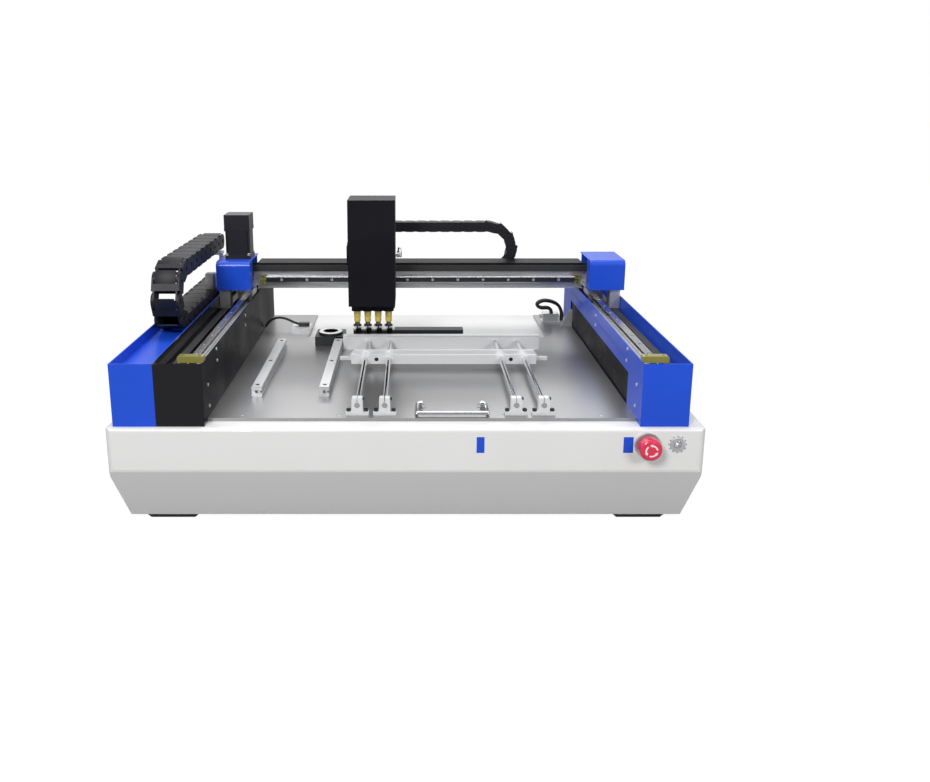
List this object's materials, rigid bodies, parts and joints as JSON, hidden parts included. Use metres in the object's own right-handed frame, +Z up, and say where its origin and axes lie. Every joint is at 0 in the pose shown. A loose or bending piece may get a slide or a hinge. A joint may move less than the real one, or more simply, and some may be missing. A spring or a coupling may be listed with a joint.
{
  "type": "desktop pick and place machine",
  "caption": "Desktop pick and place machine with a gantry on two rails, a four-nozzle head, cable chains, belt drives and a sliding circuit board clamp on a table.",
  "frame": {"origin": "centre of the bounding box's bottom face, on the floor between the feet", "axes": "+X to the operator's right along the gantry, +Y from the operator to the back along the rails, +Z up"},
  "size_m": [1.066, 0.842, 0.538],
  "materials": {
    "white_paint": "smooth gloss powder coat",
    "blue_paint": "gloss powder coat",
    "black_gloss": "gloss lacquer over sheet metal",
    "black_paint": "satin black coat",
    "table_steel": "brushed",
    "aluminium": "clear anodised",
    "rail_steel": "ground",
    "chrome": "polished",
    "bumper": "cast polyurethane",
    "black_rubber": "moulded",
    "black_plastic": "moulded",
    "red_plastic": "moulded",
    "amber_plastic": "moulded",
    "motor_black": "satin"
  },
  "bodies": {
    "base": {"base_shell": "white_paint", "bottom_plate": "table_steel", "feet": "black_rubber", "table_plate": "table_steel", "left_trough": "blue_paint", "left_box": "black_gloss", "right_box": "blue_paint", "rail_supports": "aluminium", "y_rails": "rail_steel", "y_bumpers": "bumper", "y_motors": "motor_black", "y_belts": "black_rubber", "rear_pcb_rail": "aluminium", "guide_rods": "chrome", "shaft_supports": "aluminium", "feeder_bars": "aluminium", "up_camera": "black_plastic", "nozzle_rack": "aluminium", "handle_feet": "chrome", "panel_bezels": "black_plastic", "rear_fittings": "aluminium", "hoses_and_cable": "black_rubber", "power_inlet": "black_plastic", "base_electronics": "aluminium", "y_chain_lower": "black_plastic"},
    "gantry": {"y_carriages": "rail_steel", "end_plates": "aluminium", "gantry_beam": "aluminium", "beam_cover": "black_paint", "x_rail": "rail_steel", "left_end_cover": "blue_paint", "right_end_cover": "blue_paint", "x_motor": "motor_black", "x_belt": "black_rubber", "x_bumpers": "bumper", "x_chain_lower": "black_plastic"},
    "head": {"head_carriage": "aluminium", "head_cover": "black_paint", "nozzle_block": "black_paint"},
    "y_drive": {"y_drive_pulleys": "aluminium"},
    "y_idlers": {"y_idler_pulleys": "aluminium"},
    "x_drive": {"x_drive_pulley": "aluminium"},
    "x_idler": {"x_idler_pulley": "aluminium"},
    "clamp": {"pcb_clamp": "aluminium"},
    "handle": {"carry_handle": "chrome"},
    "stop_button": {"estop_button": "red_plastic"},
    "start_key": {"start_button": "chrome"},
    "rocker": {"power_rocker": "black_plastic"},
    "y_bend": {"y_chain_bend": "black_plastic"},
    "y_chain_end": {"y_chain_upper": "black_plastic"},
    "x_bend": {"x_chain_bend": "black_plastic"},
    "x_chain_end": {"x_chain_upper": "black_plastic"},
    "lift_1": {"quill_1": "rail_steel"},
    "spin_1": {"nozzle_1": "amber_plastic"},
    "lift_2": {"quill_2": "rail_steel"},
    "spin_2": {"nozzle_2": "amber_plastic"},
    "lift_3": {"quill_3": "rail_steel"},
    "spin_3": {"nozzle_3": "amber_plastic"},
    "lift_4": {"quill_4": "rail_steel"},
    "spin_4": {"nozzle_4": "amber_plastic"}
  },
  "joints": [
    {"name": "gantry_y", "type": "slide", "parent": "base", "child": "gantry", "axis": [0, 1, 0], "range_m": [-0.43, 0.03]},
    {"name": "head_x", "type": "slide", "parent": "gantry", "child": "head", "axis": [1, 0, 0], "range_m": [-0.2, 0.42]},
    {"name": "y_drive_turn", "type": "hinge", "parent": "base", "child": "y_drive", "pos_m": [0, 0.363, 0.259], "axis": [1, 0, 0], "range_deg": [-108, 1541]},
    {"name": "y_idler_turn", "type": "hinge", "parent": "base", "child": "y_idlers", "pos_m": [0, -0.348, 0.259], "axis": [1, 0, 0], "range_deg": [-108, 1541]},
    {"name": "x_drive_turn", "type": "hinge", "parent": "gantry", "child": "x_drive", "pos_m": [-0.398, 0.196, 0.364], "axis": [0, 0, 1], "range_deg": [-717, 1505]},
    {"name": "x_idler_turn", "type": "hinge", "parent": "gantry", "child": "x_idler", "pos_m": [0.464, 0.196, 0.364], "axis": [0, 0, 1], "range_deg": [-717, 1505]},
    {"name": "y_bend_travel", "type": "slide", "parent": "base", "child": "y_bend", "axis": [0, 1, 0], "range_m": [-0.215, 0.015], "deforming": ["y_chain_lower", "y_chain_upper"]},
    {"name": "y_chain_end_travel", "type": "slide", "parent": "y_bend", "child": "y_chain_end", "axis": [0, 1, 0], "range_m": [-0.215, 0.015]},
    {"name": "x_bend_travel", "type": "slide", "parent": "gantry", "child": "x_bend", "axis": [1, 0, 0], "range_m": [-0.1, 0.21], "deforming": ["x_chain_lower", "x_chain_upper"]},
    {"name": "x_chain_end_travel", "type": "slide", "parent": "x_bend", "child": "x_chain_end", "axis": [1, 0, 0], "range_m": [-0.1, 0.21]},
    {"name": "nozzle_1_lift", "type": "slide", "parent": "head", "child": "lift_1", "axis": [0, 0, 1], "range_m": [-0.025, 0.025]},
    {"name": "nozzle_2_lift", "type": "slide", "parent": "head", "child": "lift_2", "axis": [0, 0, 1], "range_m": [-0.025, 0.025]},
    {"name": "nozzle_3_lift", "type": "slide", "parent": "head", "child": "lift_3", "axis": [0, 0, 1], "range_m": [-0.025, 0.025]},
    {"name": "nozzle_4_lift", "type": "slide", "parent": "head", "child": "lift_4", "axis": [0, 0, 1], "range_m": [-0.025, 0.025]},
    {"name": "nozzle_1_turn", "type": "hinge", "parent": "lift_1", "child": "spin_1", "pos_m": [-0.1153, 0.114, 0.3], "axis": [0, 0, 1], "continuous": true},
    {"name": "nozzle_2_turn", "type": "hinge", "parent": "lift_2", "child": "spin_2", "pos_m": [-0.0911, 0.114, 0.3], "axis": [0, 0, 1], "continuous": true},
    {"name": "nozzle_3_turn", "type": "hinge", "parent": "lift_3", "child": "spin_3", "pos_m": [-0.0669, 0.114, 0.3], "axis": [0, 0, 1], "continuous": true},
    {"name": "nozzle_4_turn", "type": "hinge", "parent": "lift_4", "child": "spin_4", "pos_m": [-0.0427, 0.114, 0.3], "axis": [0, 0, 1], "continuous": true},
    {"name": "clamp_slide", "type": "slide", "parent": "base", "child": "clamp", "axis": [0, 1, 0], "range_m": [-0.2, 0.09]},
    {"name": "handle_fold", "type": "hinge", "parent": "base", "child": "handle", "pos_m": [0.085, -0.3, 0.201], "axis": [-1, 0, 0], "range_deg": [0, 100]},
    {"name": "stop_push", "type": "slide", "parent": "base", "child": "stop_button", "axis": [0, 1, 0], "range_m": [0, 0.005], "stiffness_N_per_m": 800},
    {"name": "start_push", "type": "slide", "parent": "base", "child": "start_key", "axis": [0, 1, 0], "range_m": [0, 0.002], "stiffness_N_per_m": 400},
    {"name": "rocker_tip", "type": "hinge", "parent": "base", "child": "rocker", "pos_m": [-0.396, 0.412, 0.162], "axis": [1, 0, 0], "range_deg": [0, 14]}
  ],
  "couplings": [
    {"joint": "y_drive_turn", "follows": "gantry_y", "rad_per_m": -62.5},
    {"joint": "y_idler_turn", "follows": "gantry_y", "rad_per_m": -62.5},
    {"joint": "x_drive_turn", "follows": "head_x", "rad_per_m": 62.5},
    {"joint": "x_idler_turn", "follows": "head_x", "rad_per_m": 62.5},
    {"joint": "y_bend_travel", "follows": "gantry_y", "ratio": 0.5},
    {"joint": "y_chain_end_travel", "follows": "gantry_y", "ratio": 0.5},
    {"joint": "x_bend_travel", "follows": "head_x", "ratio": 0.5},
    {"joint": "x_chain_end_travel", "follows": "head_x", "ratio": 0.5},
    {"joint": "nozzle_2_lift", "follows": "nozzle_1_lift", "ratio": -1},
    {"joint": "nozzle_4_lift", "follows": "nozzle_3_lift", "ratio": -1}
  ]
}
